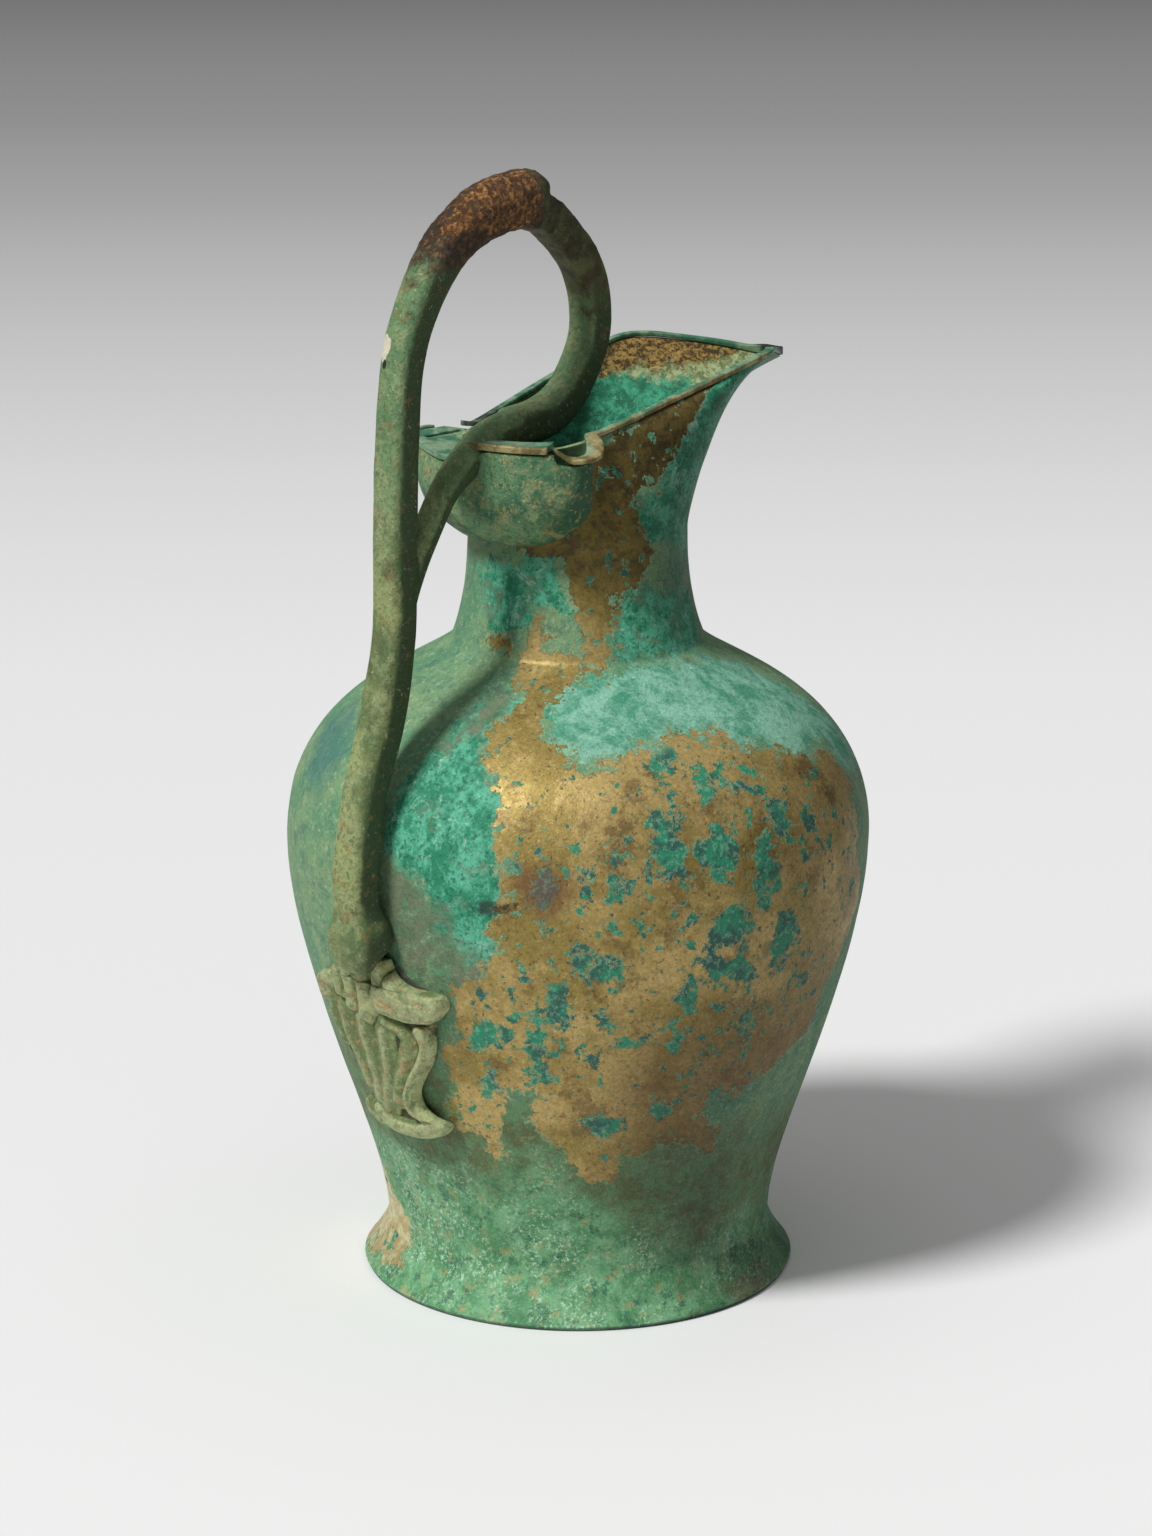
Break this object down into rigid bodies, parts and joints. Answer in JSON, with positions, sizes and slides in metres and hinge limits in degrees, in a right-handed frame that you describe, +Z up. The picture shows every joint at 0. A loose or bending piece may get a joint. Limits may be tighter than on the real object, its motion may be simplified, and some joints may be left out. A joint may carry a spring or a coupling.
{
  "type": "oinochoe",
  "caption": "Bronze wine jug with a flared foot, ovoid belly, narrow neck, beaked pouring mouth and a tall looped handle with a leaf plate below.",
  "frame": {"origin": "centre of the foot on the surface the jug stands on, at the flat end of the base plate's boss", "axes": "+Z up along the vessel's axis, +X towards the spout, the handle on the -X side"},
  "size_m": [0.1632, 0.1454, 0.2798],
  "materials": {
    "patinated_sheet": "raised bronze sheet with green patina and bare gold-brown patches",
    "turned_bronze": "turned bronze, brown with green spots",
    "rim_bronze": "worn bronze strip, pale green and gold edges",
    "cast_bronze": "cast bronze with granular olive green patina",
    "solder": "dull grey soft solder"
  },
  "bodies": {
    "root": {"vessel_body": "patinated_sheet", "base_plate": "turned_bronze", "base_solder": "solder", "rim_band": "rim_bronze", "handle": "cast_bronze", "neck_saddle": "cast_bronze", "saddle_solder": "solder", "saddle_cover_near": "rim_bronze", "saddle_cover_far": "rim_bronze", "escutcheon": "cast_bronze", "escutcheon_solder": "solder"}
  },
  "joints": []
}
